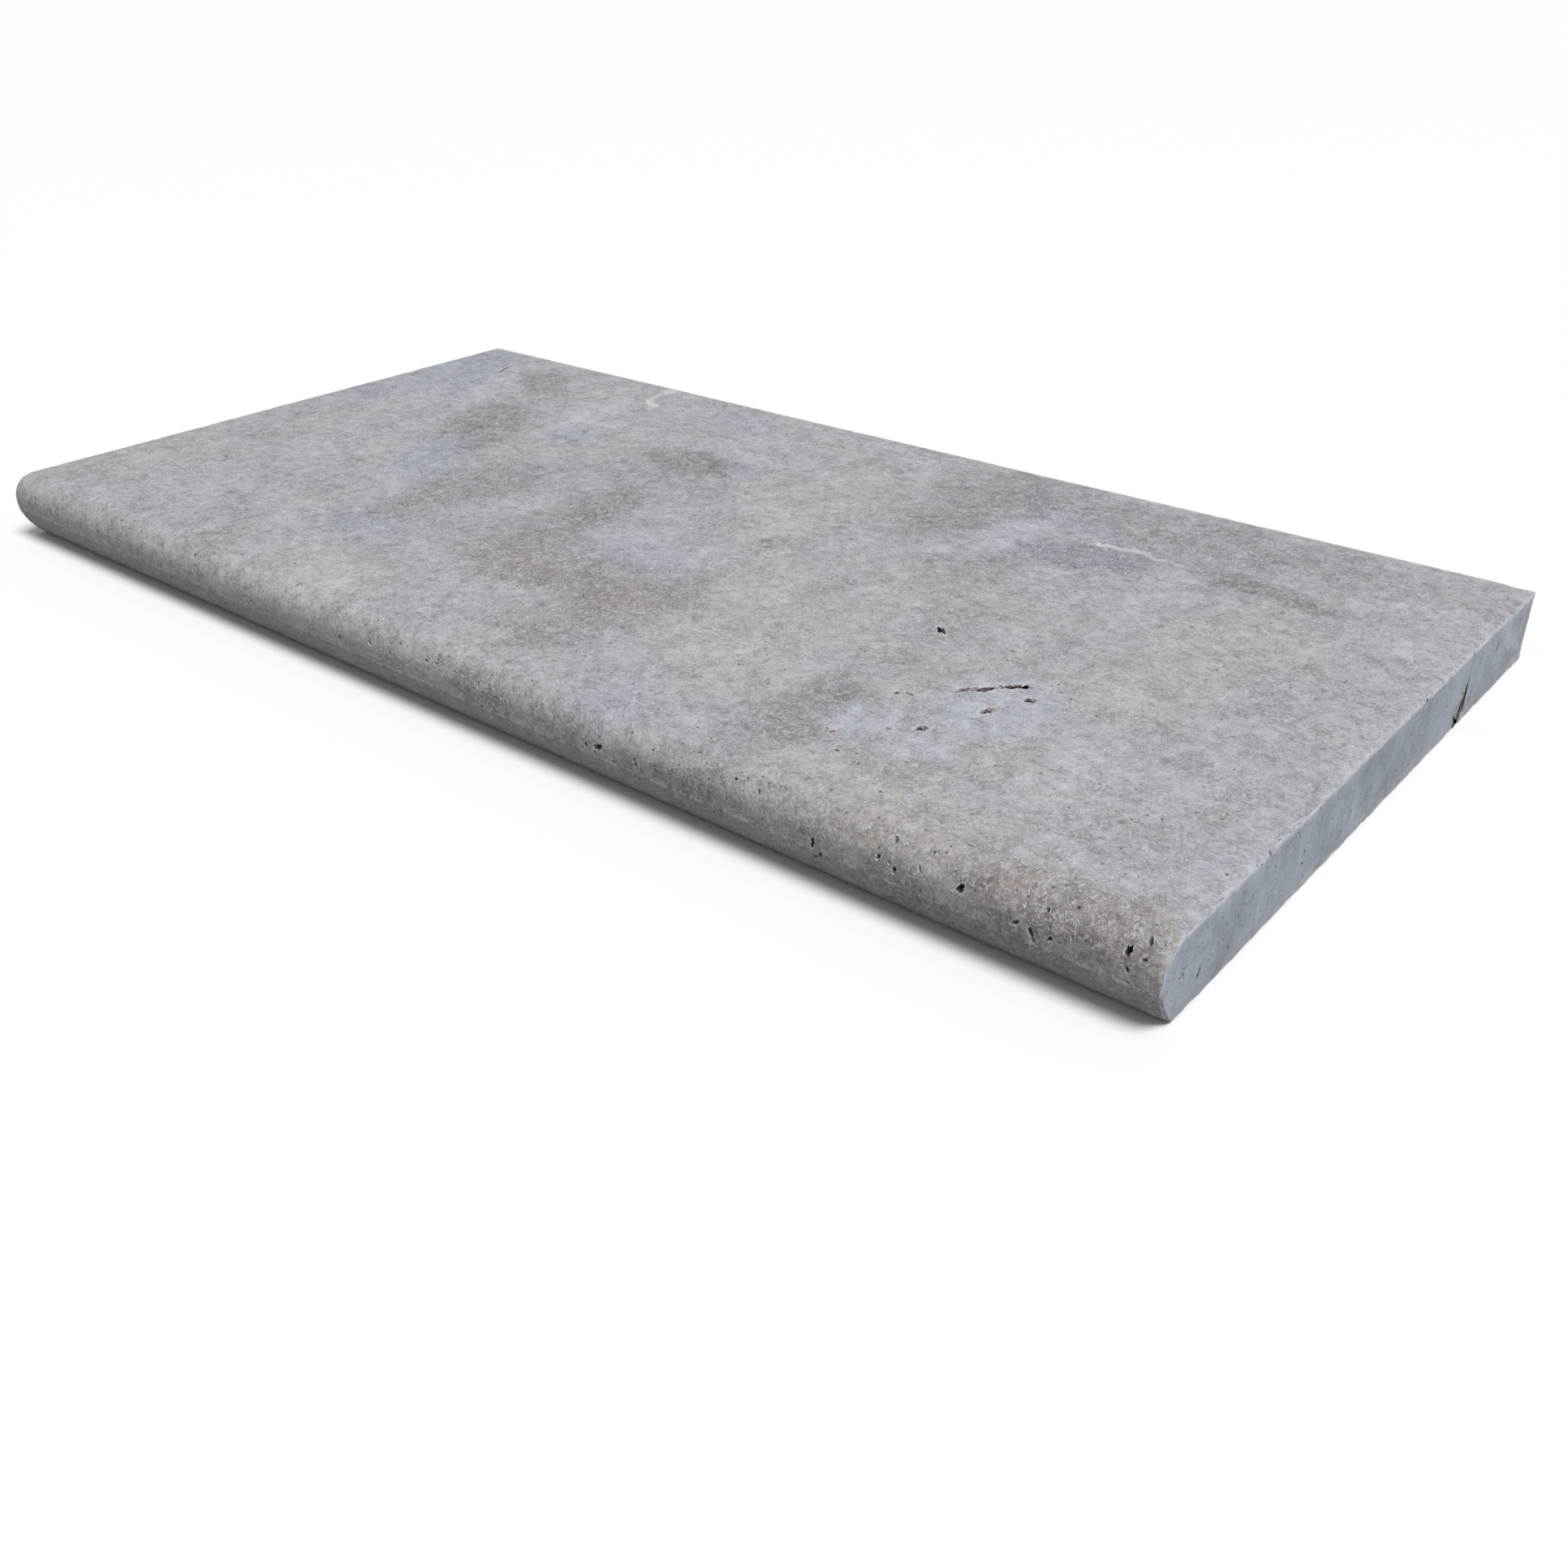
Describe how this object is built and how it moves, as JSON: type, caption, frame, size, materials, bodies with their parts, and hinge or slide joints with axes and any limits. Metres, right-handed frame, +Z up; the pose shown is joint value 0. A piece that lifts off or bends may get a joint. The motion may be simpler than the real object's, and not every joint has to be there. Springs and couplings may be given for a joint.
{
  "type": "bullnose coping stone",
  "caption": "Grey travertine coping slab with a bullnose front edge, sawn ends and natural open voids, for capping a wall, step or pool edge.",
  "frame": {"origin": "middle of the underside, at the centre of the bounding box", "axes": "+X along the length, +Y towards the square back edge, the bullnose faces -Y, +Z up"},
  "size_m": [0.61, 0.305, 0.03],
  "materials": {
    "travertine": "tumbled and brushed matt grey travertine, sawn at both ends"
  },
  "bodies": {
    "root": {"coping": "travertine"}
  },
  "joints": []
}
